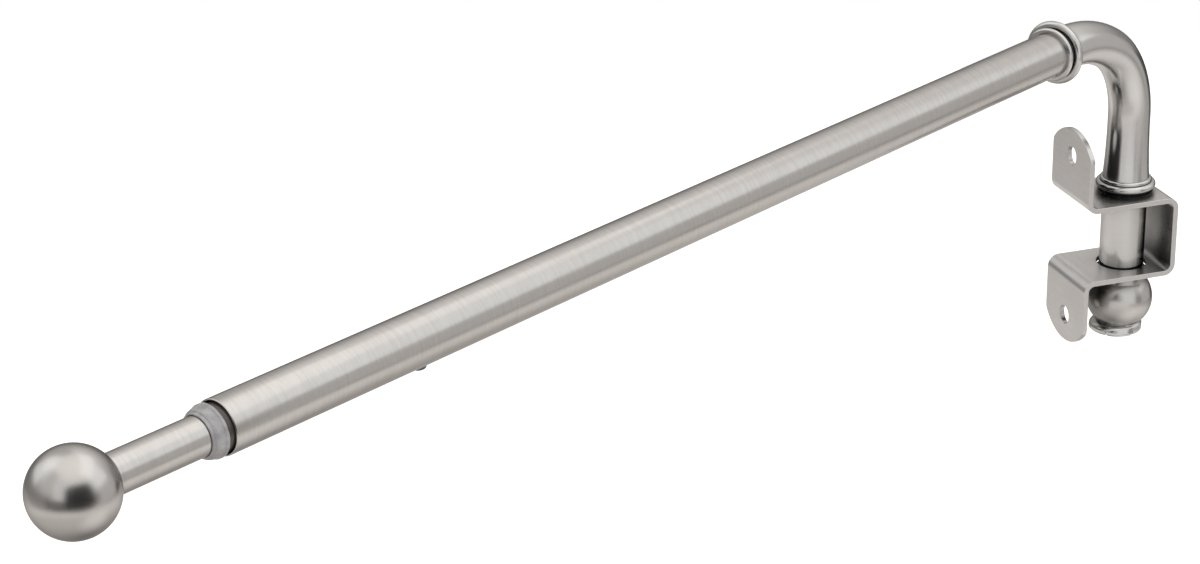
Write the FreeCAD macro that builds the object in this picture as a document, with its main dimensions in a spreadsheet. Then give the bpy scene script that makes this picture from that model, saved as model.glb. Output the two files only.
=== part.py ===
import FreeCAD
import Part
import Sketcher
import math
import os

# A swing arm curtain rod, in millimetres.
# The wall is the plane y = 0 and the room lies on the -Y side of it, +Z is up along the wall.
# The origin is halfway between the two screw holes of the wall bracket, on the wall plane.
# The arm is modelled along its own X axis and is then turned about the pivot to its resting angle.

DRIVING_SIZES = {
    # wall bracket
    "strip_width": 30.0,
    "strip_thickness": 2.0,
    "bend_inside_radius": 2.3,
    "channel_height": 31.0,
    "channel_depth": 37.5,
    "ear_height": 26.6,
    "ear_crown_rise": 7.7,
    "ear_corner_radius": 3.0,
    "screw_hole_diameter": 7.0,
    "screw_hole_spacing": 64.0,
    "pivot_setback": 23.0,
    "pivot_hole_diameter": 18.6,
    # arm
    "arm_angle": 120.0,
    "rod_height": 67.4,
    "elbow_outside_radius": 7.8,
    "elbow_wall": 1.2,
    "elbow_bend_radius": 35.0,
    "elbow_wider_bend_radius": 56.0,
    "elbow_root_flare": 0.85,
    "elbow_root_length": 22.0,
    "collar_body_radius": 8.9,
    "collar_end_radius": 10.2,
    "collar_flange_thickness": 0.4,
    "big_ring_radius": 11.1,
    "rod_big_ring_radius": 11.4,
    "big_ring_thickness": 2.8,
    "small_ring_radius": 9.6,
    "small_ring_thickness": 1.8,
    "pivot_big_ring_height": 2.85,
    "ring_pitch": 1.9,
    "mouth_ring_pitch": 3.4,
    "mouth_ring_radius": 9.7,
    "rod_ring_distance": 7.2,
    "rod_socket_depth": 8.0,
    "spigot_clearance": 0.1,
    "rest_clearance": 0.05,
    "press_clearance": 0.02,
    # pivot tube and ball
    "pivot_tube_diameter": 16.7,
    "pivot_tube_wall": 1.2,
    "pivot_tube_entry": 4.0,
    "pivot_ball_diameter": 24.8,
    "ball_neck_radius": 9.4,
    "ball_clearance": 0.1,
    "flare_upper_radius": 9.5,
    "flare_lower_radius": 10.0,
    "flare_length": 3.8,
    "flare_split_width": 0.7,
    "flare_split_depth": 2.4,
    # telescoping rod
    "outer_tube_diameter": 16.0,
    "outer_tube_wall": 0.6,
    "outer_tube_reach": 443.2,
    "mouth_round": 0.25,
    "inner_tube_diameter": 11.5,
    "inner_tube_wall": 0.7,
    "inner_tube_start": 96.0,
    "finial_extension": 46.8,
    "finial_diameter": 24.6,
    "finial_socket_depth": 5.5,
    # sleeve, guide and stop screw
    "sleeve_rim_radius": 7.7,
    "sleeve_rim_width": 1.1,
    "sleeve_rim_gap": 0.9,
    "sleeve_neck_radius": 6.9,
    "sleeve_nose_length": 5.7,
    "sleeve_nose_step": 0.3,
    "sleeve_tail_length": 20.0,
    "sleeve_fit": 0.1,
    "slide_clearance": 0.15,
    "guide_head_length": 12.0,
    "guide_plug_length": 8.0,
    "guide_groove_depth": 0.6,
    "stop_screw_setback": 73.0,
    "stop_screw_diameter": 3.0,
    "stop_screw_head_diameter": 4.8,
    "stop_screw_head_height": 1.3,
    "stop_screw_tip_clearance": 0.35,
}

SHEET_NAME = "sizes"


class Size:
    """A number together with the formula that ties it to the sheet of sizes."""

    def __init__(self, value, text):
        self.value = float(value)
        self.text = text

    def __add__(self, other):
        other = toSize(other)
        return Size(self.value + other.value, "(%s + %s)" % (self.text, other.text))

    def __radd__(self, other):
        return toSize(other) + self

    def __sub__(self, other):
        other = toSize(other)
        return Size(self.value - other.value, "(%s - %s)" % (self.text, other.text))

    def __rsub__(self, other):
        return toSize(other) - self

    def __mul__(self, other):
        other = toSize(other)
        return Size(self.value * other.value, "(%s * %s)" % (self.text, other.text))

    def __rmul__(self, other):
        return toSize(other) * self

    def __truediv__(self, other):
        other = toSize(other)
        return Size(self.value / other.value, "(%s / %s)" % (self.text, other.text))

    def __neg__(self):
        return Size(-self.value, "(-1 * %s)" % self.text)


def toSize(number):
    if isinstance(number, Size):
        return number
    return Size(number, "(%s)" % repr(float(number)))


def root(size):
    return Size(math.sqrt(size.value), "sqrt(%s)" % size.text)


def size(name):
    return Size(DRIVING_SIZES[name], "%s.%s" % (SHEET_NAME, name))


def makeSheet(doc):
    sheet = doc.addObject("Spreadsheet::Sheet", SHEET_NAME)
    sheet.Label = "Driving sizes"
    for row, (name, value) in enumerate(DRIVING_SIZES.items(), start=1):
        sheet.set("A%d" % row, name)
        sheet.set("B%d" % row, str(value))
        sheet.setAlias("B%d" % row, name)
    doc.recompute()
    return sheet


doc = FreeCAD.newDocument("SwingArmCurtainRod")
makeSheet(doc)

# Sizes that follow from the driving ones

half_width = size("strip_width") / 2
thickness = size("strip_thickness")
half_channel = size("channel_height") / 2
ear_end = half_channel + size("ear_height")
outside_bend = size("bend_inside_radius") + thickness
pivot_y = -size("pivot_setback")
rod_level = half_channel + size("rod_height")
elbow_bore_radius = size("elbow_outside_radius") - size("elbow_wall")
spigot_radius = size("pivot_hole_diameter") / 2 - size("spigot_clearance")
pivot_tube_radius = size("pivot_tube_diameter") / 2
outer_tube_radius = size("outer_tube_diameter") / 2
outer_bore_radius = outer_tube_radius - size("outer_tube_wall")
inner_tube_radius = size("inner_tube_diameter") / 2
inner_bore_radius = inner_tube_radius - size("inner_tube_wall")
ball_radius = size("pivot_ball_diameter") / 2
ball_top = -half_channel - size("ball_clearance")
ball_centre = ball_top - ball_radius + 0.2
ball_chord = root(ball_radius * ball_radius - pivot_tube_radius * pivot_tube_radius)
ball_bottom = ball_centre - ball_chord
collar_seat = half_channel + size("rest_clearance")
bend_growth = size("elbow_wider_bend_radius") - size("elbow_bend_radius")
bend_foot = rod_level - size("elbow_wider_bend_radius") + bend_growth * root(toSize(0.75))
bend_end = size("elbow_bend_radius") + bend_growth / 2
rod_ring_place = bend_end + size("rod_ring_distance")
socket_floor = rod_ring_place + size("mouth_ring_pitch") + \
    size("small_ring_thickness") / 2 - size("rod_socket_depth")
rod_mouth = socket_floor + size("rod_socket_depth")
tube_mouth = size("outer_tube_reach")
finial_centre = tube_mouth + size("finial_extension")
stop_screw_place = tube_mouth - size("stop_screw_setback")


# Bodies, sketches and features

def newBody(label, follows_arm):
    body = doc.addObject("PartDesign::Body", label)
    body.Label = label
    if follows_arm:
        body.setExpression("Placement.Base.y", pivot_y.text)
        body.setExpression("Placement.Rotation.Angle", size("arm_angle").text)
        body.Placement = FreeCAD.Placement(
            FreeCAD.Vector(0, pivot_y.value, 0),
            FreeCAD.Rotation(FreeCAD.Vector(0, 0, 1), DRIVING_SIZES["arm_angle"]))
    doc.recompute()
    return body


def originPlane(body, role):
    for item in body.Origin.OriginFeatures:
        if item.Role == role:
            return item
    raise ValueError("no plane " + role)


def newSketch(body, name, role, shift=(0, 0, 0)):
    sketch = body.newObject("Sketcher::SketchObject", name)
    sketch.AttachmentSupport = [(originPlane(body, role), "")]
    sketch.MapMode = "FlatFace"
    offsets = [toSize(part) for part in shift]
    sketch.AttachmentOffset = FreeCAD.Placement(
        FreeCAD.Vector(*[part.value for part in offsets]), FreeCAD.Rotation())
    for axis, part in zip("xyz", offsets):
        if part.value != 0:
            sketch.setExpression("AttachmentOffset.Base." + axis, part.text)
    return sketch


def bindConstraint(sketch, constraint, text):
    index = sketch.addConstraint(constraint)
    name = "size%d" % index
    sketch.renameConstraint(index, name)
    sketch.setExpression("Constraints." + name, text)


def pinPoint(sketch, geometry, position, x, y):
    for kind, axis, part in (("DistanceX", -2, toSize(x)), ("DistanceY", -1, toSize(y))):
        if part.value == 0:
            sketch.addConstraint(Sketcher.Constraint("PointOnObject", geometry, position, axis))
        else:
            bindConstraint(sketch, Sketcher.Constraint(
                kind, -1, 1, geometry, position, part.value), part.text)


def vector(x, y):
    return FreeCAD.Vector(toSize(x).value, toSize(y).value, 0)


def drawPolygon(sketch, points):
    count = len(points)
    first = sketch.GeometryCount
    for number in range(count):
        start = vector(*points[number])
        end = vector(*points[(number + 1) % count])
        sketch.addGeometry(Part.LineSegment(start, end), False)
    for number in range(count):
        following = first + (number + 1) % count
        sketch.addConstraint(Sketcher.Constraint("Coincident", first + number, 2, following, 1))
    for number, (x, y) in enumerate(points):
        pinPoint(sketch, first + number, 1, x, y)


def drawCircle(sketch, x, y, radius):
    radius = toSize(radius)
    circle = Part.Circle(vector(x, y), FreeCAD.Vector(0, 0, 1), radius.value)
    index = sketch.addGeometry(circle, False)
    pinPoint(sketch, index, 3, x, y)
    bindConstraint(sketch, Sketcher.Constraint("Radius", index, radius.value), radius.text)


def drawHalfDisc(sketch, centre, radius, along_x):
    """A half disc on the turning axis of a ball."""
    if along_x:
        middle, start, end = vector(centre, 0), 0.0, math.pi
    else:
        middle, start, end = vector(0, centre), -math.pi / 2, math.pi / 2
    circle = Part.Circle(middle, FreeCAD.Vector(0, 0, 1), radius.value)
    arc = sketch.addGeometry(Part.ArcOfCircle(circle, start, end), False)
    curve = sketch.Geometry[arc]
    line = sketch.addGeometry(Part.LineSegment(curve.EndPoint, curve.StartPoint), False)
    sketch.addConstraint(Sketcher.Constraint("Coincident", arc, 2, line, 1))
    sketch.addConstraint(Sketcher.Constraint("Coincident", line, 2, arc, 1))
    for pole in (1, 2):
        sketch.addConstraint(Sketcher.Constraint("PointOnObject", arc, pole, -1 if along_x else -2))
    distance = toSize(centre)
    kind = "DistanceX" if along_x else "DistanceY"
    bindConstraint(sketch, Sketcher.Constraint(kind, -1, 1, arc, 3, distance.value), distance.text)
    bindConstraint(sketch, Sketcher.Constraint("Radius", arc, radius.value), radius.text)


def finishFeature(body, feature):
    doc.recompute()
    body.Tip = feature
    return feature


def pad(body, sketch, length):
    feature = body.newObject("PartDesign::Pad", sketch.Name + "Pad")
    feature.Profile = sketch
    feature.Length = length.value
    feature.Midplane = True
    feature.setExpression("Length", length.text)
    return finishFeature(body, feature)


def pocket(body, sketch, length, both_ways=True, reverse=False):
    feature = body.newObject("PartDesign::Pocket", sketch.Name + "Pocket")
    feature.Profile = sketch
    feature.Length = length.value
    feature.Midplane = both_ways
    feature.Reversed = reverse
    feature.setExpression("Length", length.text)
    return finishFeature(body, feature)


def turn(body, sketch, axis="V_Axis", cut=False):
    kind = "PartDesign::Groove" if cut else "PartDesign::Revolution"
    feature = body.newObject(kind, sketch.Name + ("Groove" if cut else "Turn"))
    feature.Profile = sketch
    feature.ReferenceAxis = (sketch, [axis])
    feature.Angle = 360.0
    return finishFeature(body, feature)


def pipe(body, profile, path, cut=False):
    kind = "PartDesign::SubtractivePipe" if cut else "PartDesign::AdditivePipe"
    feature = body.newObject(kind, profile.Name + "Pipe")
    feature.Profile = profile
    feature.Spine = path
    return finishFeature(body, feature)


def fillet(body, base, name, edges, radius):
    feature = body.newObject("PartDesign::Fillet", name)
    feature.Base = (base, edges)
    feature.Radius = radius.value
    feature.setExpression("Radius", radius.text)
    return finishFeature(body, feature)


def findEdges(feature, accept):
    names = []
    for number, edge in enumerate(feature.Shape.Edges, start=1):
        if accept(edge, edge.BoundBox.Center):
            names.append("Edge%d" % number)
    if not names:
        raise ValueError("no edges on " + feature.Name)
    return names


def near(value, wanted):
    return abs(value - wanted) < 0.02


# Wall bracket: one strip bent four times

def stripEdge(edge, length):
    box = edge.BoundBox
    return near(box.XLength, length) and box.YLength < 0.01 and box.ZLength < 0.01


def makeBracket():
    body = newBody("wall_bracket", False)
    depth = size("channel_depth")
    side = newSketch(body, "StripSide", "YZ_Plane")
    inner = half_channel - thickness
    drawPolygon(side, [
        (0, ear_end), (0, inner), (thickness - depth, inner), (thickness - depth, -inner),
        (0, -inner), (0, -ear_end), (-thickness, -ear_end), (-thickness, -half_channel),
        (-depth, -half_channel), (-depth, half_channel), (-thickness, half_channel),
        (-thickness, ear_end)])
    strip = pad(body, side, size("strip_width"))
    outside = [(0.0, inner.value), (-depth.value, half_channel.value)]
    inside = [(-thickness.value, half_channel.value), (thickness.value - depth.value, inner.value)]
    width = size("strip_width").value
    for name, corners, radius in (("BendOutside", outside, outside_bend),
                                  ("BendInside", inside, size("bend_inside_radius"))):
        chosen = findEdges(strip, lambda edge, middle: stripEdge(edge, width) and any(
            near(middle.y, y) and near(abs(middle.z), z) for y, z in corners))
        strip = fillet(body, strip, name, chosen, radius)
    trimEars(body)
    pivots = newSketch(body, "PivotHoles", "XY_Plane")
    drawCircle(pivots, 0, pivot_y, size("pivot_hole_diameter") / 2)
    pocket(body, pivots, size("channel_height") * 2)
    screws = newSketch(body, "ScrewHoles", "XZ_Plane")
    for side_sign in (1, -1):
        drawCircle(screws, 0, side_sign * size("screw_hole_spacing") / 2,
                   size("screw_hole_diameter") / 2)
    pocket(body, screws, thickness * 4)
    return body


def trimEars(body):
    """The ends of both ears are cut to a shallow arch with rounded corners."""
    rise = size("ear_crown_rise")
    crown_radius = (half_width * half_width + rise * rise) / (2 * rise)
    spring = ear_end - rise
    sketch = newSketch(body, "EarArches", "XZ_Plane")
    for sign in (1, -1):
        drawArch(sketch, sign, spring, crown_radius)
    trimmed = pocket(body, sketch, thickness * 4)
    corners = findEdges(trimmed, lambda edge, middle: near(abs(middle.x), half_width.value)
                        and near(abs(middle.z), spring.value) and near(middle.y, -thickness.value / 2))
    fillet(body, trimmed, "EarCorners", corners, size("ear_corner_radius"))


def drawArch(sketch, sign, spring, crown_radius):
    beyond = half_width + thickness
    top = ear_end + thickness
    centre = sign * (ear_end - crown_radius)
    middle = FreeCAD.Vector(0, centre.value, 0)
    angle = math.atan2(spring.value - ear_end.value + crown_radius.value, half_width.value)
    circle = Part.Circle(middle, FreeCAD.Vector(0, 0, 1), crown_radius.value)
    if sign > 0:
        arc = Part.ArcOfCircle(circle, angle, math.pi - angle)
        first_x, last_x = half_width, -half_width
    else:
        arc = Part.ArcOfCircle(circle, math.pi + angle, 2 * math.pi - angle)
        first_x, last_x = -half_width, half_width
    index = sketch.addGeometry(arc, False)
    pinPoint(sketch, index, 1, first_x, sign * spring)
    pinPoint(sketch, index, 2, last_x, sign * spring)
    bindConstraint(sketch, Sketcher.Constraint("DistanceY", -1, 1, index, 3, centre.value),
                   centre.text)
    first_out = beyond if sign > 0 else -beyond
    corners = [(last_x, sign * spring), (-first_out, sign * spring), (-first_out, sign * top),
               (first_out, sign * top), (first_out, sign * spring), (first_x, sign * spring)]
    previous = index
    for number in range(5):
        start = vector(*corners[number])
        end = vector(*corners[number + 1])
        line = sketch.addGeometry(Part.LineSegment(start, end), False)
        sketch.addConstraint(Sketcher.Constraint("Coincident", previous, 2, line, 1))
        if number < 4:
            pinPoint(sketch, line, 2, *corners[number + 1])
        previous = line
    sketch.addConstraint(Sketcher.Constraint("Coincident", previous, 2, index, 1))


# Elbow: a bent tube with a ringed collar at both ends

def elbowPath(body, name, start, end):
    """Up the pivot axis, a tight arc for 60 degrees, a wider arc to level, and out along the rod."""
    path = newSketch(body, name, "XZ_Plane")
    tight = size("elbow_bend_radius")
    wide = size("elbow_wider_bend_radius")
    join_angle = math.radians(120)
    first = path.addGeometry(Part.LineSegment(vector(0, start), vector(0, bend_foot)), False)
    circle = Part.Circle(vector(tight, bend_foot), FreeCAD.Vector(0, 0, 1), tight.value)
    lower = path.addGeometry(Part.ArcOfCircle(circle, join_angle, math.pi), False)
    circle = Part.Circle(vector(bend_end, rod_level - wide), FreeCAD.Vector(0, 0, 1), wide.value)
    upper = path.addGeometry(Part.ArcOfCircle(circle, math.pi / 2, join_angle), False)
    last = path.addGeometry(Part.LineSegment(vector(bend_end, rod_level), vector(end, rod_level)), False)
    path.addConstraint(Sketcher.Constraint("Coincident", first, 2, lower, 2))
    path.addConstraint(Sketcher.Constraint("Coincident", lower, 1, upper, 2))
    path.addConstraint(Sketcher.Constraint("Coincident", upper, 1, last, 1))
    pinPoint(path, first, 1, 0, start)
    pinPoint(path, first, 2, 0, bend_foot)
    pinPoint(path, lower, 1, tight / 2, bend_foot + tight * root(toSize(0.75)))
    pinPoint(path, last, 1, bend_end, rod_level)
    pinPoint(path, last, 2, end, rod_level)
    for curve, middle in ((lower, tight), (upper, bend_end)):
        bindConstraint(path, Sketcher.Constraint(
            "DistanceX", -1, 1, curve, 3, middle.value), middle.text)
    return path


def addRing(body, name, along_rod, place, outer_radius, ring_thickness, shift):
    ring_half = ring_thickness / 2
    middle = outer_radius - ring_half
    sketch = newSketch(body, name, "XZ_Plane", shift)
    if along_rod:
        drawCircle(sketch, place, middle, ring_half)
        turn(body, sketch, "H_Axis")
    else:
        drawCircle(sketch, middle, place, ring_half)
        turn(body, sketch, "V_Axis")


def makeElbow():
    body = newBody("elbow", True)
    start = collar_seat + 1
    end = socket_floor + 1
    path = elbowPath(body, "BendPath", start, end)
    outside = newSketch(body, "BendOutline", "XY_Plane", (0, 0, start))
    drawCircle(outside, 0, 0, size("elbow_outside_radius"))
    pipe(body, outside, path)
    addPivotCollar(body)
    addRodCollar(body)
    cutElbowBore(body)
    return body


def addPivotCollar(body):
    """Root flare, core, seat, spigot and two rings of the collar over the top plate."""
    core = size("collar_body_radius")
    ring_level = half_channel + size("pivot_big_ring_height")
    top = ring_level + size("ring_pitch")
    root_radius = size("elbow_outside_radius") + size("elbow_root_flare")
    bore = elbow_bore_radius
    turned = newSketch(body, "PivotCollar", "XZ_Plane")
    drawPolygon(turned, [
        (bore, half_channel - thickness), (spigot_radius, half_channel - thickness),
        (spigot_radius, collar_seat), (size("collar_end_radius"), collar_seat),
        (size("collar_end_radius"), collar_seat + size("collar_flange_thickness")),
        (core, collar_seat + size("collar_flange_thickness")), (core, top),
        (root_radius, top), (size("elbow_outside_radius"), top + size("elbow_root_length")),
        (bore, top + size("elbow_root_length"))])
    turn(body, turned)
    addRing(body, "PivotBigRing", False, ring_level, size("big_ring_radius"),
            size("big_ring_thickness"), (0, 0, 0))
    addRing(body, "PivotSmallRing", False, top, size("small_ring_radius"),
            size("small_ring_thickness"), (0, 0, 0))


def addRodCollar(body):
    """Core and three rings of the collar that takes the outer tube."""
    core = size("collar_body_radius")
    ring = rod_ring_place
    back = ring - size("ring_pitch")
    shift = (0, rod_level, 0)
    turned = newSketch(body, "RodCollar", "XZ_Plane", shift)
    drawPolygon(turned, [
        (socket_floor - 2, elbow_bore_radius), (socket_floor - 2, size("elbow_outside_radius")),
        (back - 1, core), (rod_mouth - 0.3, core), (rod_mouth, core - 0.3),
        (rod_mouth, elbow_bore_radius)])
    turn(body, turned, "H_Axis")
    addRing(body, "RodBackRing", True, back, size("small_ring_radius"),
            size("small_ring_thickness"), shift)
    addRing(body, "RodBigRing", True, ring, size("rod_big_ring_radius"),
            size("big_ring_thickness"), shift)
    addRing(body, "RodMouthRing", True, ring + size("mouth_ring_pitch"),
            size("mouth_ring_radius"), size("small_ring_thickness"), shift)


def cutElbowBore(body):
    """The bore follows the bend and opens into a socket at either end."""
    start = half_channel - thickness - 1
    path = elbowPath(body, "BorePath", start, rod_mouth + 1)
    bore = newSketch(body, "Bore", "XY_Plane", (0, 0, start))
    drawCircle(bore, 0, 0, elbow_bore_radius)
    pipe(body, bore, path, cut=True)
    clearance = size("press_clearance")
    pivot_socket = newSketch(body, "PivotSocket", "XZ_Plane")
    socket_top = half_channel + size("pivot_tube_entry") + 0.1
    drawPolygon(pivot_socket, [
        (0, start), (pivot_tube_radius + clearance, start),
        (pivot_tube_radius + clearance, socket_top), (0, socket_top)])
    turn(body, pivot_socket, "V_Axis", cut=True)
    rod_socket = newSketch(body, "RodSocket", "XZ_Plane", (0, rod_level, 0))
    drawPolygon(rod_socket, [
        (socket_floor, 0), (rod_mouth + 1, 0), (rod_mouth + 1, outer_tube_radius + clearance),
        (socket_floor, outer_tube_radius + clearance)])
    turn(body, rod_socket, "H_Axis", cut=True)


# Pivot tube: passes both plates and the ball, split and flared at its lower end

SPLIT_ANGLES = (12.0, 74.0, 131.0, 205.0, 268.0, 322.0)


def makePivotTube():
    body = newBody("pivot_tube", True)
    outside = pivot_tube_radius
    inside = outside - size("pivot_tube_wall")
    length = size("flare_length")
    top = half_channel + size("pivot_tube_entry")
    flare_top = ball_bottom - 0.1
    upper = size("flare_upper_radius")
    lower = size("flare_lower_radius")
    turned = newSketch(body, "TubeAndFlare", "XZ_Plane")
    drawPolygon(turned, [
        (inside, top), (outside, top), (outside, flare_top), (upper - 0.3, flare_top - length * 0.2),
        (upper, flare_top - length * 0.35), (upper + 0.1, flare_top - length * 0.6),
        (lower, flare_top - length * 0.75), (lower, flare_top - length * 0.92),
        (lower - 0.4, flare_top - length), (lower - 1.3, flare_top - length),
        (lower - 1.7, flare_top - length * 0.72), (inside, flare_top - length * 0.2)])
    turn(body, turned)
    cutSplits(body, flare_top - length, lower)
    return body


def cutSplits(body, bottom, lower):
    width = size("flare_split_width") / 2
    floor = lower - size("flare_split_depth")
    for number, angle in enumerate(SPLIT_ANGLES):
        slot = newSketch(body, "Split%d" % number, "XY_Plane", (0, 0, bottom))
        slot.AttachmentOffset = FreeCAD.Placement(
            slot.AttachmentOffset.Base, FreeCAD.Rotation(FreeCAD.Vector(0, 0, 1), angle))
        drawPolygon(slot, [(floor, -width), (lower + 1, -width * 1.5),
                           (lower + 1, width * 1.5), (floor, width)])
        pocket(body, slot, size("flare_length") * 1.3)


def makePivotBall():
    body = newBody("pivot_ball", True)
    ball = newSketch(body, "Ball", "XZ_Plane")
    drawHalfDisc(ball, ball_centre, ball_radius, False)
    turn(body, ball)
    neck = newSketch(body, "Neck", "XZ_Plane")
    drawPolygon(neck, [(0, ball_centre), (size("ball_neck_radius"), ball_centre),
                       (size("ball_neck_radius"), ball_top), (0, ball_top)])
    turn(body, neck)
    bore = newSketch(body, "Bore", "XZ_Plane")
    radius = pivot_tube_radius + size("press_clearance")
    drawPolygon(bore, [(0, ball_top + 2), (radius, ball_top + 2),
                       (radius, ball_centre - ball_radius - 2), (0, ball_centre - ball_radius - 2)])
    turn(body, bore, "V_Axis", cut=True)
    return body


# Outer tube with the threaded hole of the stop screw

def turnedRing(body, name, start, end, inside, outside):
    sketch = newSketch(body, name, "XZ_Plane", (0, rod_level, 0))
    drawPolygon(sketch, [(start, inside), (end, inside), (end, outside), (start, outside)])
    return turn(body, sketch, "H_Axis")


def makeOuterTube():
    body = newBody("outer_tube", True)
    mouth = tube_mouth
    start = socket_floor + 0.05
    tube = turnedRing(body, "Tube", start, mouth, outer_bore_radius, outer_tube_radius)
    rims = findEdges(tube, lambda edge, middle: near(middle.x, mouth.value)
                     and edge.BoundBox.XLength < 0.01)
    fillet(body, tube, "MouthRound", rims, size("mouth_round"))
    hole = newSketch(body, "StopScrewHole", "XY_Plane", (0, 0, rod_level - outer_tube_radius))
    drawCircle(hole, stop_screw_place, 0,
               size("stop_screw_diameter") / 2 + size("press_clearance"))
    pocket(body, hole, size("outer_tube_wall") * 5)
    return body


def makeStopScrew():
    body = newBody("stop_screw", True)
    shank = size("stop_screw_diameter") / 2
    head = size("stop_screw_head_diameter") / 2
    height = size("stop_screw_head_height")
    under = -outer_tube_radius
    tip = -inner_tube_radius - size("stop_screw_tip_clearance")
    shift = (stop_screw_place, rod_level, 0)
    turned = newSketch(body, "Screw", "XZ_Plane", shift)
    drawPolygon(turned, [
        (0, tip), (shank - 0.3, tip), (shank, tip - 0.3), (shank, under), (head, under),
        (head, under - height * 0.45), (head - 0.35, under - height * 0.8),
        (head * 0.55, under - height), (0, under - height)])
    turn(body, turned)
    bottom = rod_level - outer_tube_radius - height
    for number, angle in enumerate((0.0, 90.0)):
        slot = newSketch(body, "Recess%d" % number, "XY_Plane",
                         (stop_screw_place, 0, bottom))
        slot.AttachmentOffset = FreeCAD.Placement(
            slot.AttachmentOffset.Base, FreeCAD.Rotation(FreeCAD.Vector(0, 0, 1), angle))
        reach = head * 0.5
        drawPolygon(slot, [(-reach, -0.25), (reach, -0.25), (reach, 0.25), (-reach, 0.25)])
        pocket(body, slot, height * 1.1)
    return body


# Plastic sleeve in the mouth and plastic guide on the hidden end of the inner tube

def makeSleeve():
    body = newBody("glide_sleeve", True)
    mouth = tube_mouth
    inside = inner_tube_radius + size("slide_clearance")
    rim_back = mouth + size("sleeve_rim_gap")
    rim_front = rim_back + size("sleeve_rim_width")
    nose = rim_back + size("sleeve_nose_length")
    rim = size("sleeve_rim_radius")
    neck = size("sleeve_neck_radius")
    fit = outer_bore_radius - size("sleeve_fit")
    tail = mouth - size("sleeve_tail_length")
    lip = inside + size("sleeve_nose_step")
    sketch = newSketch(body, "Sleeve", "XZ_Plane", (0, rod_level, 0))
    drawPolygon(sketch, [
        (tail, inside), (nose, inside), (nose, lip), (nose - 0.8, lip + 0.15),
        (nose - 1.2, lip + 0.65), (nose - 2.2, rim - 0.5), (rim_front + 0.4, rim - 0.35),
        (rim_front, rim), (rim_back + 0.15, rim), (rim_back, rim - 0.15),
        (rim_back, neck), (mouth - 0.5, neck), (mouth - 1.2, fit), (tail + 0.8, fit),
        (tail, fit - 0.4)])
    turn(body, sketch, "H_Axis")
    return body


def makeInnerTube():
    body = newBody("inner_tube", True)
    end = finial_centre - finialEntry() + size("finial_socket_depth") - 0.1
    turnedRing(body, "Tube", size("inner_tube_start"), end, inner_bore_radius, inner_tube_radius)
    return body


def finialEntry():
    """Distance from the middle of the finial to where the tube enters it."""
    radius = size("finial_diameter") / 2
    return root(radius * radius - inner_tube_radius * inner_tube_radius)


def makeGuide():
    body = newBody("inner_guide", True)
    start = size("inner_tube_start")
    back = start - size("guide_head_length")
    outside = outer_bore_radius - size("slide_clearance")
    groove = outside - size("guide_groove_depth")
    plug = inner_bore_radius - size("press_clearance")
    length = size("guide_head_length")
    sketch = newSketch(body, "Guide", "XZ_Plane", (0, rod_level, 0))
    drawPolygon(sketch, [
        (back, 0), (start + size("guide_plug_length"), 0),
        (start + size("guide_plug_length"), plug - 0.5),
        (start + size("guide_plug_length") - 0.8, plug), (start - 0.05, plug),
        (start - 0.05, outside), (start - length * 0.3, outside),
        (start - length * 0.34, groove), (start - length * 0.66, groove),
        (start - length * 0.7, outside), (back + 0.8, outside), (back, outside - 0.6)])
    turn(body, sketch, "H_Axis")
    return body


def makeFinial():
    body = newBody("finial_ball", True)
    centre = finial_centre
    radius = size("finial_diameter") / 2
    ball = newSketch(body, "Ball", "XZ_Plane", (0, rod_level, 0))
    drawHalfDisc(ball, centre, radius, True)
    turn(body, ball, "H_Axis")
    bore = newSketch(body, "Socket", "XZ_Plane", (0, rod_level, 0))
    floor = centre - finialEntry() + size("finial_socket_depth")
    wall = inner_tube_radius + size("press_clearance")
    drawPolygon(bore, [(centre - radius - 1, 0), (floor, 0), (floor, wall),
                       (centre - radius - 1, wall)])
    turn(body, bore, "H_Axis", cut=True)
    return body


# Build, check and write every piece

def checkAll():
    for item in doc.Objects:
        if "Invalid" in item.State or "Error" in item.State:
            raise ValueError("feature in error: " + item.Name)


def exportPiece(body):
    shape = body.Shape
    if shape.isNull() or not shape.isValid() or len(shape.Solids) != 1:
        raise ValueError("bad shape: " + body.Label)
    shape.exportStep("parts/%s.step" % body.Label)
    box = shape.BoundBox
    print("%-14s volume %9.1f  box %.1f %.1f %.1f" % (
        body.Label, shape.Volume, box.XLength, box.YLength, box.ZLength))


def main():
    os.makedirs("parts", exist_ok=True)
    makers = (makeBracket, makeElbow, makePivotTube, makePivotBall, makeOuterTube, makeStopScrew,
              makeSleeve, makeInnerTube, makeGuide, makeFinial)
    bodies = [maker() for maker in makers]
    doc.recompute()
    checkAll()
    for body in bodies:
        exportPiece(body)


main()
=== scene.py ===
import bpy
import math
from mathutils import Matrix, Vector


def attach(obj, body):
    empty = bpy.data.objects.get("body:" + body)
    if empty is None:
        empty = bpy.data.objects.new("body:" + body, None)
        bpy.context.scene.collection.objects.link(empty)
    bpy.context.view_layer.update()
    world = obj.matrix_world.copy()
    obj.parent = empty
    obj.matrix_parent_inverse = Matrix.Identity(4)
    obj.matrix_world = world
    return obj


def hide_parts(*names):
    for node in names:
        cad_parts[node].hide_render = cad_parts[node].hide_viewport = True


# A swing arm curtain rod in satin nickel. Sizes in the dictionaries are millimetres.
# The arm's pieces are modelled along +X over the pivot, then turned to where the arm rests.

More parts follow.
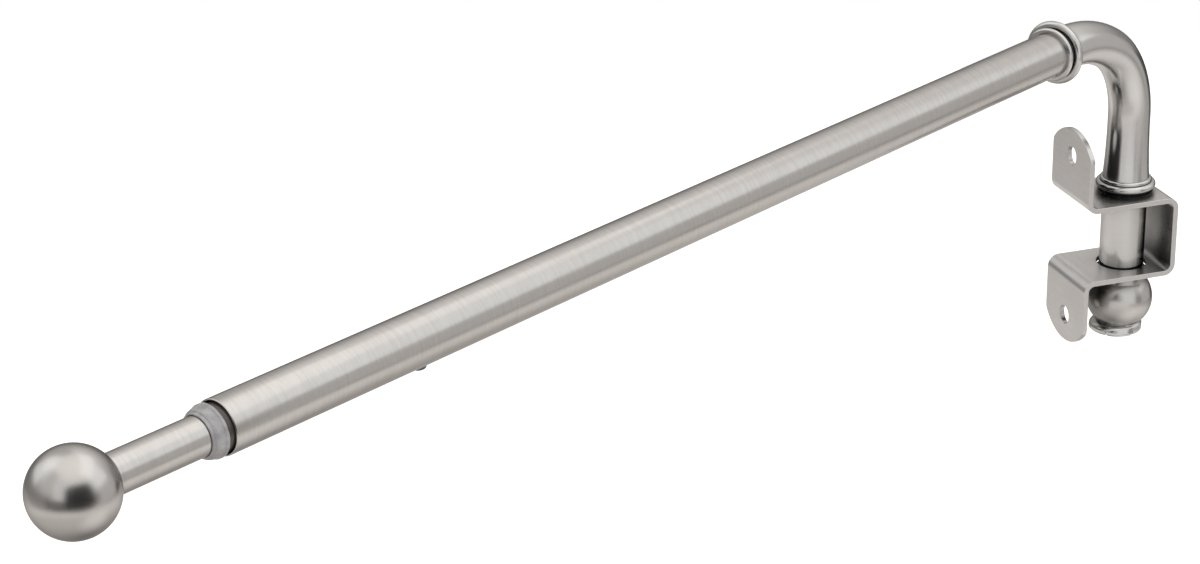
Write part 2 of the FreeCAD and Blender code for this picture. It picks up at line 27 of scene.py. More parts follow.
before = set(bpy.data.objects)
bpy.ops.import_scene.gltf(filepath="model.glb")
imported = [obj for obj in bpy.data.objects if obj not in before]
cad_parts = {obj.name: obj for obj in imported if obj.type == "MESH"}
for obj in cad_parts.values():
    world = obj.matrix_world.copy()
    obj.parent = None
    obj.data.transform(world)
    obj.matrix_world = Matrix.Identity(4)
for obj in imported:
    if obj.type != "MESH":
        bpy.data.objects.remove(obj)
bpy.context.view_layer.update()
mm = 0.001
mergeWithin = 0.002 * mm
arm = {"pivot": (0.0, -23.0, 0.0), "angle": 120.0, "rodLevel": 82.9, "roundSides": 112}
print("frame loaded, nodes:", len(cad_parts))


# Small helps for modelling

def clearSelection():
    if bpy.context.object and bpy.context.object.mode != "OBJECT":
        bpy.ops.object.mode_set(mode="OBJECT")
    bpy.ops.object.select_all(action="DESELECT")


def pickOnly(obj):
    clearSelection()
    obj.select_set(True)
    bpy.context.view_layer.objects.active = obj


def nameActive(name):
    obj = bpy.context.object
    obj.name = name
    obj.data.name = name
    return obj


def closeMesh():
    # doubles go first, then all faces are turned outwards
    bpy.ops.mesh.select_all(action="SELECT")
    bpy.ops.mesh.remove_doubles(threshold=mergeWithin)
    bpy.ops.mesh.normals_make_consistent(inside=False)
    bpy.ops.object.mode_set(mode="OBJECT")


def applyModifier(obj, kind, **values):
    pickOnly(obj)
    modifier = obj.modifiers.new(kind.title(), kind)
    for key, value in values.items():
        setattr(modifier, key, value)
    bpy.ops.object.modifier_apply(modifier=modifier.name)


def settle(obj, onArm, smoothAngle=35.0):
    # the place goes into the mesh, so the object ends at the origin, unturned and unscaled
    pickOnly(obj)
    bpy.ops.object.transform_apply(location=True, rotation=True, scale=True)
    if onArm:
        turned = Matrix.Rotation(math.radians(arm["angle"]), 4, "Z")
        obj.matrix_world = Matrix.Translation(Vector(arm["pivot"]) * mm) @ turned
        bpy.ops.object.transform_apply(location=True, rotation=True, scale=True)
    bpy.ops.object.shade_smooth_by_angle(angle=math.radians(smoothAngle))


def arc(along, radius, bend, fromAngle, toAngle, count):
    # points of an outline, as (distance along the axis, distance from the axis)
    points = []
    for number in range(count + 1):
        angle = math.radians(fromAngle + (toAngle - fromAngle) * number / count)
        points.append((along + bend * math.cos(angle), radius + bend * math.sin(angle)))
    return points


def bead(place, outerRadius, thickness, core, steps=10):
    # a rounded ring that stands on a core, read in the direction of growing distance
    half = thickness / 2
    points = [(place - half, core)] + arc(place, outerRadius - half, half, 180, 0, steps)
    return points + [(place + half, core)]


def turnOutline(name, outline, axis, sides):
    # an outline drawn point by point and spun once round the axis of the rod or of the pivot
    clearSelection()
    level = arm["rodLevel"] if axis == "X" else 0.0
    centre = Vector((0, 0, level * mm))
    places = []
    for along, radius in outline:
        place = (along, 0, level + radius) if axis == "X" else (radius, 0, along)
        places.append(Vector(place) * mm)
    bpy.ops.mesh.primitive_plane_add(size=mm, location=places[0])
    obj = nameActive(name)
    bpy.ops.object.mode_set(mode="EDIT")
    bpy.ops.mesh.merge(type="CENTER")
    for start, end in zip(places, places[1:]):
        bpy.ops.mesh.extrude_vertices_move(TRANSFORM_OT_translate={"value": end - start})
    bpy.ops.mesh.select_all(action="SELECT")
    spinAxis = (1, 0, 0) if axis == "X" else (0, 0, 1)
    bpy.ops.mesh.spin(steps=sides, angle=2 * math.pi, center=centre, axis=spinAxis)
    closeMesh()
    return obj


def selectPlaces(obj, accept, kind="FACE"):
    # called in edit mode; selects by place and leaves edit mode on
    bpy.ops.mesh.select_mode(type=kind)
    bpy.ops.mesh.select_all(action="DESELECT")
    bpy.ops.object.mode_set(mode="OBJECT")
    if kind == "FACE":
        for face in obj.data.polygons:
            face.select = accept(obj.matrix_world @ face.center / mm)
    else:
        for vertex in obj.data.vertices:
            vertex.select = accept(obj.matrix_world @ vertex.co / mm)
    bpy.ops.object.mode_set(mode="EDIT")


# Elbow: one ring of edges is drawn out over the pivot, round the bend and along the rod,
# then back through the bore

elbowSizes = {
    "spigotRadius": 9.2, "spigotFoot": 13.5, "seat": 15.55, "seatRadius": 10.2, "flange": 0.4,
    "bigRingLevel": 18.35, "bigRingRadius": 11.1, "bigRingThickness": 2.8,
    "smallRingLevel": 20.25, "smallRingRadius": 9.6, "smallRingThickness": 1.8,
    "rootRadius": 8.65, "rootLength": 22.0, "tubeRadius": 7.8, "boreRadius": 6.6,
    "rootSteps": 6, "core": 8.9, "ringGap": (0.15, 0.2),
    "bend": 35.0, "bendTurn": 60.0, "widerBend": 56.0, "bendSteps": (20, 14),
    "backRing": 50.8, "backRingLead": 3.0, "backRingCore": 0.3,
    "rodRing": 52.7, "rodRingRadius": 11.4, "mouthRing": 56.1, "mouthRingRadius": 9.7,
    "mouthRingThickness": 1.8, "grooveRadius": 8.6, "mouth": 57.0, "mouthStep": 0.1,
    "socketFloor": 49.0, "socketRadius": 8.02,
    "pivotSocketTop": 19.6, "pivotSocketRadius": 8.37, "uprightWithin": 12.0,
}


def drawOut(stations, axis, last):
    # the selected ring of edges goes from station to station
    for along, radius in stations:
        step = (along - last[0]) * mm
        move = (step, 0, 0) if axis == "X" else (0, 0, step)
        bpy.ops.mesh.extrude_region_move(TRANSFORM_OT_translate={"value": move})
        if not math.isclose(radius, last[1]):
            growth = radius / last[1]
            middle = (along, 0, arm["rodLevel"]) if axis == "X" else (0, 0, along)
            bpy.ops.transform.resize(value=(growth, growth, growth),
                                     center_override=Vector(middle) * mm)
        last = (along, radius)


def bendHubs():
    # middles of the two arcs of the bend, where it starts over the pivot and where it ends
    size = elbowSizes
    turn = math.radians(size["bendTurn"])
    more = size["widerBend"] - size["bend"]
    end = size["bend"] + more * math.cos(turn)
    foot = arm["rodLevel"] - size["widerBend"] + more * math.sin(turn)
    return (size["bend"], foot), (end, arm["rodLevel"] - size["widerBend"]), foot, end


def makeElbow():
    size = elbowSizes
    clearSelection()
    hub, widerHub, foot, end = bendHubs()
    turn = math.radians(size["bendTurn"])
    start = (size["spigotFoot"], size["spigotRadius"])
    bpy.ops.mesh.primitive_circle_add(vertices=arm["roundSides"], radius=start[1] * mm,
                                      location=(0, 0, start[0] * mm))
    obj = nameActive("armElbow")
    bpy.ops.object.mode_set(mode="EDIT")
    ringTop = size["smallRingLevel"] + size["smallRingThickness"] / 2
    up = [(size["seat"], size["spigotRadius"]), (size["seat"], size["seatRadius"]),
          (size["seat"] + size["flange"], size["seatRadius"]),
          (size["seat"] + size["flange"], size["core"])]
    up += bead(size["bigRingLevel"], size["bigRingRadius"], size["bigRingThickness"],
               size["core"])[:-1]
    gapDown, gapOut = size["ringGap"]
    up.append((size["bigRingLevel"] + size["bigRingThickness"] / 2 - gapDown, size["core"] + gapOut))
    smallRing = bead(size["smallRingLevel"], size["smallRingRadius"], size["smallRingThickness"],
                     size["rootRadius"])
    up += [point for point in smallRing[1:] if point[0] > up[-1][0]]
    for number in range(1, size["rootSteps"] + 1):
        share = number / size["rootSteps"]
        ease = 1 - (1 - share) ** 2
        up.append((ringTop + size["rootLength"] * share,
                   size["rootRadius"] + (size["tubeRadius"] - size["rootRadius"]) * ease))
    up.append((foot, size["tubeRadius"]))
    drawOut(up, "Z", start)
    hub = Vector((hub[0], 0, hub[1])) * mm
    widerHub = Vector((widerHub[0], 0, widerHub[1])) * mm
    steps = size["bendSteps"]
    bpy.ops.mesh.spin(steps=steps[0], angle=-turn, center=hub, axis=(0, 1, 0))
    bpy.ops.mesh.spin(steps=steps[1], angle=turn - math.pi / 2, center=widerHub, axis=(0, 1, 0))
    out = [(size["backRing"] - size["backRingLead"], size["tubeRadius"])]
    out += bead(size["backRing"], size["smallRingRadius"], size["smallRingThickness"],
                size["tubeRadius"] + size["backRingCore"])[:-3]
    bigRing = bead(size["rodRing"], size["rodRingRadius"], size["bigRingThickness"],
                   size["grooveRadius"])
    out += [point for point in bigRing[1:] if point[0] > out[-1][0]]
    out += bead(size["mouthRing"], size["mouthRingRadius"], size["mouthRingThickness"],
                size["grooveRadius"])[:-1]
    out += [(size["mouth"], size["core"] - size["mouthStep"]), (size["mouth"], size["socketRadius"]),
            (size["socketFloor"], size["socketRadius"]), (size["socketFloor"], size["boreRadius"]),
            (end, size["boreRadius"])]
    drawOut(out, "X", (end, size["tubeRadius"]))
    bpy.ops.mesh.spin(steps=steps[1], angle=math.pi / 2 - turn, center=widerHub, axis=(0, 1, 0))
    bpy.ops.mesh.spin(steps=steps[0], angle=turn, center=hub, axis=(0, 1, 0))
    back = [(size["pivotSocketTop"], size["boreRadius"]),
            (size["pivotSocketTop"], size["pivotSocketRadius"]),
            (size["spigotFoot"], size["pivotSocketRadius"]), start]
    drawOut(back, "Z", (foot, size["boreRadius"]))
    closeMesh()
    markPath(obj, hub, widerHub, turn)
    settle(obj, True, 40.0)
    return obj


def markPath(obj, hub, widerHub, turn):
    # every point keeps where it would lie if the bend were straight, for the grain of the finish
    straight = obj.data.attributes.new("straightPlace", "FLOAT_VECTOR", "POINT")
    wide = elbowSizes["widerBend"] * mm
    rodLevel = arm["rodLevel"] * mm
    bendEnd = hub.z + hub.x * turn + wide * (math.pi / 2 - turn)
    for vertex in obj.data.vertices:
        place = obj.matrix_world @ vertex.co
        reach = Vector((place.x - hub.x, place.z - hub.z))
        turnedBy = math.atan2(reach.y, -reach.x)
        if place.z <= hub.z and place.x < elbowSizes["uprightWithin"] * mm:
            value = (place.x, place.y, place.z)
        elif place.x >= widerHub.x:
            value = (rodLevel - place.z, place.y, bendEnd + place.x - widerHub.x)
        elif turnedBy <= turn:
            value = (hub.x - reach.length, place.y, hub.z + hub.x * turnedBy)
        else:
            reach = Vector((place.x - widerHub.x, place.z - widerHub.z))
            turnedBy = math.atan2(reach.y, -reach.x)
            value = (wide - reach.length, place.y, bendEnd - wide * (math.pi / 2 - turnedBy))
        straight.data[vertex.index].vector = value


elbow = makeElbow()
print("elbow made:", len(elbow.data.vertices), "points")


# Pivot post: a thin tube through both plates, split and spread under the ball

postSizes = {
    "radius": 8.35, "wall": 1.2, "rings": (19.5, 10.0, 0.0, -12.0, -24.0, -36.97), "sides": 144,
    "turnOut": 0.35,
    "flare": [(-37.5, 9.05), (-37.85, 9.4), (-38.3, 9.65), (-38.8, 9.8), (-39.25, 9.88),
              (-39.7, 9.95), (-40.15, 9.98), (-40.5, 9.92), (-40.75, 9.75)],
    "splitTop": -39.4,
    "splits": [(12, 1.3), (74, 1.2), (131, 1.3), (205, 1.2), (268, 1.4), (322, 1.2)],
    "petals": [(43, 0.05, 0.03), (102, -0.12, 0.12), (168, 0.04, -0.05), (236, -0.16, 0.2),
               (295, 0.03, -0.03), (347, -0.1, 0.1)],
    "halfPetal": 30, "lean": (0.62, -0.7), "leanStart": -37.2, "leanSteps": (0.0, 0.5, 1.0, 1.5),
}


def isNearAngle(place, middle, width):
    # whether a place stands within a width of an angle round the pivot, all in degrees
    angle = math.degrees(math.atan2(place.y, place.x)) % 360
    return abs((angle - middle + 180) % 360 - 180) < width


def makePost():
    size = postSizes
    outline = [(level, size["radius"]) for level in size["rings"]]
    outline.append((size["rings"][-1] - size["turnOut"], size["radius"] + size["turnOut"]))
    outline += size["flare"]
    obj = turnOutline("pivotPost", outline, "Z", size["sides"])
    pickOnly(obj)
    bpy.ops.object.mode_set(mode="EDIT")

    def inSplit(place):
        return place.z < size["splitTop"] and any(
            isNearAngle(place, middle, width) for middle, width in size["splits"])

    selectPlaces(obj, inSplit)
    bpy.ops.mesh.delete(type="FACE")
    for middle, outwards, upwards in size["petals"]:

        def inPetal(place):
            return place.z < size["splitTop"] and isNearAngle(place, middle, size["halfPetal"])

        selectPlaces(obj, inPetal, "VERT")
        turned = math.radians(middle)
        move = Vector((math.cos(turned) * outwards, math.sin(turned) * outwards, upwards)) * mm
        bpy.ops.transform.translate(value=move)
    for level in size["leanSteps"]:
        # the skirt was pressed out further on one side, so it moves over in steps
        selectPlaces(obj, lambda place: place.z < size["leanStart"] - level, "VERT")
        share = Vector((size["lean"][0], size["lean"][1], 0)) * mm / len(size["leanSteps"])
        bpy.ops.transform.translate(value=share)
    bpy.ops.mesh.select_all(action="SELECT")
    bpy.ops.mesh.normals_make_consistent(inside=False)
    bpy.ops.object.mode_set(mode="OBJECT")
    applyModifier(obj, "SOLIDIFY", thickness=size["wall"] * mm, offset=-1.0, use_even_offset=True)
    settle(obj, True, 40.0)
    return obj


pivotPost = makePost()
print("pivot post made:", len(pivotPost.data.vertices), "points")


# Ball under the lower plate, with a short neck

pivotBallSizes = {
    "centre": -27.8, "radius": 12.4, "neckRadius": 9.4, "neckTop": -15.6, "neckRound": 0.25,
    "bore": 8.37, "boreEdge": (0.15, 0.05), "bands": 40,
}


def makePivotBall():
    size = pivotBallSizes
    neckAngle = math.degrees(math.acos(size["neckRadius"] / size["radius"]))
    edgeOut, edgeUp = size["boreEdge"]
    openAngle = math.degrees(math.acos((size["bore"] + edgeOut) / size["radius"]))
    outline = [(size["neckTop"], size["bore"]),
               (size["neckTop"], size["neckRadius"] - size["neckRound"]),
               (size["neckTop"] - size["neckRound"], size["neckRadius"])]
    for number in range(size["bands"] + 1):
        angle = math.radians(neckAngle + (-openAngle - neckAngle) * number / size["bands"])
        outline.append((size["centre"] + size["radius"] * math.sin(angle),
                        size["radius"] * math.cos(angle)))
    outline += [(outline[-1][0] + edgeUp, size["bore"]), outline[0]]
    obj = turnOutline("pivotBall", outline, "Z", arm["roundSides"])
    settle(obj, True, 40.0)
    return obj


pivotBall = makePivotBall()
print("pivot ball made:", len(pivotBall.data.vertices), "points")


# Telescoping rod: the tube with its rolled mouth, the sleeve in it and the thinner tube that slides

rodSizes = {
    "radius": 8.0, "bore": 7.4, "start": 49.05, "mouth": 443.2, "lipRound": 0.3,
    "slideRadius": 5.75, "slideBore": 5.05, "slideStart": 96.0, "slideEnd": 484.5, "spans": 8,
}


def makeRodOuter():
    size = rodSizes
    lip = size["lipRound"]
    outline = [(size["start"], size["bore"]), (size["start"], size["radius"])]
    straight = size["mouth"] - lip - size["start"]
    outline += [(size["start"] + straight * number / size["spans"], size["radius"])
                for number in range(1, size["spans"])]
    outline += arc(size["mouth"] - lip, size["radius"] - lip, lip, 90, 0, 4)
    outline += arc(size["mouth"] - lip, size["bore"] + lip, lip, 0, -90, 4)
    outline.append(outline[0])
    obj = turnOutline("rodOuter", outline, "X", arm["roundSides"])
    settle(obj, True)
    return obj


def makeRodInner():
    size = rodSizes
    outline = [(size["slideStart"], size["slideBore"]), (size["slideStart"], size["slideRadius"])]
    length = size["slideEnd"] - size["slideStart"]
    outline += [(size["slideStart"] + length * number / size["spans"], size["slideRadius"])
                for number in range(1, size["spans"] + 1)]
    outline += [(size["slideEnd"], size["slideBore"]), outline[0]]
    obj = turnOutline("rodInner", outline, "X", arm["roundSides"])
    settle(obj, True)
    return obj


rodOuter = makeRodOuter()
rodInner = makeRodInner()
print("tubes made:", len(rodOuter.data.vertices), len(rodInner.data.vertices), "points")


sleeveSizes = {
    "tail": 423.2, "bore": 5.9, "fit": 7.3, "neck": 6.9, "neckFoot": (1.2, 0.5), "sides": 96,
    "rimBack": 445.2, "rimFront": 446.1, "rim": 7.7, "rimRound": 0.12,
    "rimEase": ((0.3, 0.35), (0.15, 0.1)), "shoulderSteps": 8,
    "nose": 449.8, "lip": 6.2, "lipEase": ((0.2, 0.14), (0.8, 0.2)),
    # the wiper narrows the bore between these distances behind the nose
    "wiper": 5.78, "wiperPlaces": (1.2, 0.4, 0.1),
}


def makeSleeve():
    size = sleeveSizes
    nose, lip, wiper = size["nose"], size["lip"], size["wiper"]
    slopeBack, wiperBack, wiperEdge = size["wiperPlaces"]
    (lipBack, lipUp), (footBack, footUp) = size["lipEase"]
    outline = [(size["tail"], size["bore"]), (nose - slopeBack, size["bore"]),
               (nose - wiperBack, wiper), (nose - wiperEdge, wiper), (nose, wiper + wiperEdge),
               (nose, lip), (nose - lipBack, lip + lipUp), (nose - footBack, lip + footUp)]
    (topAlong, topDown), (easeAlong, easeDown) = size["rimEase"]
    hump = size["rim"] - topDown - (lip + footUp)
    length = nose - footBack - size["rimFront"] - topAlong
    for number in range(1, size["shoulderSteps"]):
        # the shoulder falls slowly at first and then steeply to the lip
        angle = math.radians(90 * number / size["shoulderSteps"])
        outline.append((nose - footBack - length * (1 - math.cos(angle)),
                        lip + footUp + hump * math.sin(angle)))
    outline += [(size["rimFront"] + topAlong, size["rim"] - topDown),
                (size["rimFront"] + easeAlong, size["rim"] - easeDown),
                (size["rimFront"], size["rim"]), (size["rimBack"] + size["rimRound"], size["rim"]),
                (size["rimBack"], size["rim"] - size["rimRound"]), (size["rimBack"], size["neck"])]
    footStart, footEnd = size["neckFoot"]
    outline += [(rodSizes["mouth"] - footEnd, size["neck"]),
                (rodSizes["mouth"] - footStart, size["fit"]), (size["tail"], size["fit"]),
                (size["tail"], size["bore"])]
    obj = turnOutline("mouthSleeve", outline, "X", size["sides"])
    settle(obj, True)
    return obj


mouthSleeve = makeSleeve()


# Stop screw: its low head shows under the tube, with a cross recess

screwSizes = {
    "place": 370.2, "shank": 1.5, "tip": -6.1, "tipRound": 0.3, "head": 2.4, "under": -8.0,
    "height": 1.3, "headRound": ((0.5, 0.0), (0.85, 0.2), (1.1, 0.6), (1.3, 1.15)),
    "recess": (2.4, 0.5, 1.4), "sides": 48,
}


def makeScrew():
    size = screwSizes
    under = arm["rodLevel"] + size["under"]
    top = arm["rodLevel"] + size["tip"]
    face = under - size["height"]
    outline = [(top, 0), (top, size["shank"] - size["tipRound"]),
               (top - size["tipRound"], size["shank"]), (under, size["shank"]), (under, size["head"])]
    outline += [(under - down, size["head"] - inwards) for down, inwards in size["headRound"]]
    outline.append((face, 0))
    obj = turnOutline("stopScrewHead", outline, "Z", size["sides"])
    for angle in (0, math.pi / 2):
        clearSelection()
        bpy.ops.mesh.primitive_cube_add(size=mm, location=(0, 0, face * mm), rotation=(0, 0, angle))
        cutter = nameActive("recessCutter")
        cutter.scale = size["recess"]
        applyModifier(obj, "BOOLEAN", operation="DIFFERENCE", solver="EXACT", object=cutter)
        bpy.data.objects.remove(cutter)
    obj.location.x = size["place"] * mm
    settle(obj, True)
    return obj


stopScrew = makeScrew()


# Ball on the free end

finialSizes = {
    "centre": 490.0, "radius": 12.3, "bore": 5.77, "boreEdge": (0.12, 0.15), "floor": 484.6,
    "bands": 56, "sides": 128,
}


def makeFinial():
    size = finialSizes
    edgeOut, edgeIn = size["boreEdge"]
    entry = math.degrees(math.asin((size["bore"] + edgeOut) / size["radius"]))
    mouth = size["centre"] - math.sqrt(size["radius"] ** 2 - size["bore"] ** 2) + edgeIn
    outline = [(size["floor"], 0), (size["floor"], size["bore"]), (mouth, size["bore"])]
    outline += arc(size["centre"], 0, size["radius"], 180 - entry, 0, size["bands"])
    obj = turnOutline("finialBall", outline, "X", size["sides"])
    settle(obj, True, 50.0)
    return obj


finialBall = makeFinial()
print("sleeve, screw and finial made:", len(mouthSleeve.data.vertices),
      len(stopScrew.data.vertices), len(finialBall.data.vertices), "points")


# Wall bracket: the edge of a strip is drawn out along its skin and turned round each bend,
# then the skin is thickened, and the ears are trimmed and drilled

bracketSizes = {
    "width": 30.0, "spareWidth": 2.0, "thickness": 2.0, "bend": 2.3, "bendSteps": 10,
    "halfChannel": 15.5, "depth": 37.5, "earEnd": 42.1, "spareEar": 3.0, "earRise": 7.7,
    "earCorner": 3.0, "archSteps": 12, "cornerSteps": 7, "trim": (10, -60),
    "screwHole": 7.0, "screwLevel": 32.0, "screwSides": 56, "screwDrill": 20,
    "pivotHole": 18.6, "pivotPlace": -23.0, "pivotSides": 96, "pivotDrill": 60,
    "edgeRound": 0.35, "edgeSteps": 3,
}


def drawStrip():
    size = bracketSizes
    outside = size["bend"] + size["thickness"]
    inner = size["halfChannel"] - size["thickness"]
    clearSelection()
    wide = size["width"] + 2 * size["spareWidth"]
    top = size["earEnd"] + size["spareEar"]
    bpy.ops.mesh.primitive_plane_add(size=wide * mm, location=(0, 0, top * mm))
    obj = nameActive("wallBracket")
    bpy.ops.object.mode_set(mode="EDIT")
    selectPlaces(obj, lambda place: place.y < 0, "VERT")
    bpy.ops.mesh.delete(type="VERT")
    bpy.ops.mesh.select_all(action="SELECT")
    bpy.ops.transform.translate(value=(0, -wide / 2 * mm, 0))
    level = inner + outside
    front = size["depth"] - outside
    ear = level - top
    runs = [(0, 0, ear, (-outside, level), -1),
            (0, outside - front, 0, (-front, inner - size["bend"]), 1),
            (0, 0, 2 * (size["bend"] - inner), (-front, size["bend"] - inner), 1),
            (0, front - outside, 0, (-outside, -level), -1),
            (0, 0, ear, None, 0)]
    for stepX, stepY, stepZ, hub, way in runs:
        move = Vector((stepX, stepY, stepZ)) * mm
        bpy.ops.mesh.extrude_region_move(TRANSFORM_OT_translate={"value": move})
        if hub:
            place = Vector((0, hub[0], hub[1])) * mm
            bpy.ops.mesh.spin(steps=size["bendSteps"], angle=-way * math.pi / 2, center=place,
                              axis=(1, 0, 0))
    closeMesh()
    return obj


def earOutline():
    # a quarter of the edge from the middle of the upper arch to the corner, mirrored all round
    size = bracketSizes
    half = size["width"] / 2
    crown = (half * half + size["earRise"] ** 2) / (2 * size["earRise"])
    middle = size["earEnd"] - crown
    corner = size["earCorner"]
    cornerX = half - corner
    cornerZ = middle + math.sqrt((crown - corner) ** 2 - cornerX ** 2)
    meet = math.atan2(cornerZ - middle, cornerX)
    right = []
    for number in range(size["archSteps"] + 1):
        angle = math.pi / 2 + (meet - math.pi / 2) * number / size["archSteps"]
        right.append((crown * math.cos(angle), middle + crown * math.sin(angle)))
    for number in range(1, size["cornerSteps"] + 1):
        angle = meet * (1 - number / size["cornerSteps"])
        right.append((cornerX + corner * math.cos(angle), cornerZ + corner * math.sin(angle)))
    down = [(x, -z) for x, z in reversed(right)]
    left = [(-x, z) for x, z in reversed(down[:-1])]
    up = [(-x, z) for x, z in reversed(right[1:])]
    return right + down + left + up


def drawCutter(name, outline, fromY, toY):
    clearSelection()
    points = [Vector((x, fromY, z)) * mm for x, z in outline]
    bpy.ops.mesh.primitive_plane_add(size=mm, location=points[0])
    obj = nameActive(name)
    bpy.ops.object.mode_set(mode="EDIT")
    bpy.ops.mesh.merge(type="CENTER")
    for start, end in zip(points, points[1:] + points[:1]):
        bpy.ops.mesh.extrude_vertices_move(TRANSFORM_OT_translate={"value": end - start})
    bpy.ops.mesh.select_all(action="SELECT")
    bpy.ops.mesh.remove_doubles(threshold=mergeWithin)
    bpy.ops.mesh.edge_face_add()
    move = (0, (toY - fromY) * mm, 0)
    bpy.ops.mesh.extrude_region_move(TRANSFORM_OT_translate={"value": move})
    closeMesh()
    return obj


def drillBracket(obj, hole, depth, place, rotation, sides):
    clearSelection()
    bpy.ops.mesh.primitive_cylinder_add(vertices=sides, radius=hole / 2 * mm, depth=depth * mm,
                                        location=Vector(place) * mm, rotation=rotation)
    cutter = nameActive("drill")
    applyModifier(obj, "BOOLEAN", operation="DIFFERENCE", solver="EXACT", object=cutter)
    bpy.data.objects.remove(cutter)


def makeBracket():
    size = bracketSizes
    obj = drawStrip()
    applyModifier(obj, "SOLIDIFY", thickness=size["thickness"] * mm, offset=-1.0,
                  use_even_offset=True)
    cutter = drawCutter("earTrim", earOutline(), *size["trim"])
    applyModifier(obj, "BOOLEAN", operation="INTERSECT", solver="EXACT", object=cutter)
    bpy.data.objects.remove(cutter)
    drillBracket(obj, size["pivotHole"], size["pivotDrill"], (0, size["pivotPlace"], 0), (0, 0, 0),
                 size["pivotSides"])
    for sign in (1, -1):
        drillBracket(obj, size["screwHole"], size["screwDrill"], (0, 0, sign * size["screwLevel"]),
                     (math.pi / 2, 0, 0), size["screwSides"])
    applyModifier(obj, "BEVEL", width=size["edgeRound"] * mm, segments=size["edgeSteps"],
                  limit_method="ANGLE", angle_limit=math.radians(50), harden_normals=False)
    settle(obj, False, 28.0)
    applyModifier(obj, "WEIGHTED_NORMAL", mode="FACE_AREA", weight=50, keep_sharp=True)
    return obj


wallBracket = makeBracket()
print("bracket made:", len(wallBracket.data.vertices), "points")


# Finishes, with painted shade in the hollows and under the pivot collar

nickel = {
    "grain": 900.0, "cloud": 70.0, "bump": 0.15, "bumpDepth": 0.0001,
    # recess is the colour of the painted shade under the pivot collar; recessTop and recessEdge place
    # its top edge
    "recess": (0.016, 0.0155, 0.015, 1.0), "recessTop": 16.95, "recessEdge": 0.1,
    # each kind of piece: colour, darker share of the grain, roughness from and to, tone of the
    # edges, how far the painted hollow shade looks for a neighbour, how dark that painted shade gets
    # between them, and how open a place has to be to stay clear
    "tube": {"colour": (0.68, 0.663, 0.642), "darker": 0.09, "rough": (0.18, 0.26), "edge": 0.72,
             "reach": 0.003, "dark": 0.6, "open": 0.8},
    "ball": {"colour": (0.68, 0.663, 0.642), "darker": 0.02, "rough": (0.22, 0.29), "edge": 0.5,
             "reach": 0.014, "dark": 0.12, "open": 0.8},
    "strip": {"colour": (0.72, 0.713, 0.702), "darker": 0.08, "rough": (0.26, 0.36), "edge": 1.0,
              "reach": 0.013, "dark": 0.28, "open": 0.8},
    "bend": {"colour": (0.74, 0.733, 0.72), "darker": 0.04, "rough": (0.16, 0.23), "edge": 0.8,
             "reach": 0.016, "dark": 0.28, "open": 0.8},
}


def startMaterial(name):
    material = bpy.data.materials.new(name)
    material.use_nodes = True
    tree = material.node_tree
    return material, tree, tree.nodes["Principled BSDF"]


def feed(tree, node, inputs):
    # an input takes the output of another node or a plain value
    for key, value in inputs.items():
        if isinstance(value, bpy.types.NodeSocket):
            tree.links.new(value, node.inputs[key])
        else:
            node.inputs[key].default_value = value


def wire(tree, kind, place, inputs, output=0, **settings):
    # adds a node, feeds it and gives one of its outputs back
    node = tree.nodes.new(kind)
    node.location = place
    for key, value in settings.items():
        setattr(node, key, value)
    feed(tree, node, inputs)
    return node.outputs[output]


def ramp(tree, place, source, steps):
    # a colour read from steps of position and colour
    node = tree.nodes.new("ShaderNodeValToRGB")
    node.location = place
    stops = node.color_ramp.elements
    stops[0].position, stops[1].position = steps[0][0], steps[-1][0]
    for position, colour in steps[1:-1]:
        stops.new(position)
    for stop, (position, colour) in zip(stops, steps):
        stop.color = colour
    feed(tree, node, {"Fac": source})
    return node.outputs["Color"]


def fade(tree, place, source, fromValue, toValue, low=0.0, high=1.0, smooth=False):
    # a value that goes from low to high while the source goes from one value to another
    inputs = {"Value": source, "From Min": fromValue, "From Max": toValue, "To Min": low, "To Max": high}
    style = "SMOOTHSTEP" if smooth else "LINEAR"
    return wire(tree, "ShaderNodeMapRange", place, inputs, interpolation_type=style)


def paintHollowShade(tree, shader, look):
    # painted shade: narrow places between two pieces mirror each other over and over and turn dark, so
    # ambient occlusion darkens the base colour there
    near = wire(tree, "ShaderNodeAmbientOcclusion", (-450, 500), {"Distance": look["reach"]}, "AO",
                samples=8)
    openness = fade(tree, (-250, 500), near, look["open"] - 0.5, look["open"], look["dark"])
    colour = shader.inputs["Base Color"].links[0].from_socket
    shaded = wire(tree, "ShaderNodeVectorMath", (-100, 400), {0: colour, "Scale": openness},
                  operation="SCALE")
    feed(tree, shader, {"Base Color": shaded})


def makeNickel(name, kind, grainTurn, stretch, source="object"):
    # grain is noise drawn out along one direction of the piece
    material, tree, shader = startMaterial(name)
    look = nickel[kind]
    if source == "object":
        place = wire(tree, "ShaderNodeTexCoord", (-1300, 0), {}, "Object")
    else:
        place = wire(tree, "ShaderNodeAttribute", (-1300, 0), {}, "Vector", attribute_name=source)
    turned = wire(tree, "ShaderNodeMapping", (-1100, 0), {"Vector": place, "Rotation": grainTurn},
                  vector_type="POINT")
    drawn = wire(tree, "ShaderNodeMapping", (-900, 0), {"Vector": turned, "Scale": stretch},
                 vector_type="POINT")
    grain = wire(tree, "ShaderNodeTexNoise", (-700, 100),
                 {"Vector": drawn, "Scale": nickel["grain"], "Detail": 3.0, "Roughness": 0.6})
    cloud = wire(tree, "ShaderNodeTexNoise", (-700, -250),
                 {"Vector": place, "Scale": nickel["cloud"], "Detail": 4.0})
    shade = tuple(part * (1 - look["darker"]) for part in look["colour"])
    tone = ramp(tree, (-450, 250), grain, ((0.25, shade + (1.0,)), (0.65, look["colour"] + (1.0,))))
    relief = wire(tree, "ShaderNodeBump", (-250, -300),
                  {"Height": grain, "Strength": nickel["bump"] * look["darker"],
                   "Distance": nickel["bumpDepth"]})
    feed(tree, shader, {
        "Metallic": 1.0, "Specular Tint": (look["edge"], look["edge"], look["edge"], 1.0),
        "Base Color": tone, "Roughness": fade(tree, (-450, -50), cloud, 0.3, 0.7, *look["rough"]),
        "Normal": relief})
    paintHollowShade(tree, shader, look)
    return material


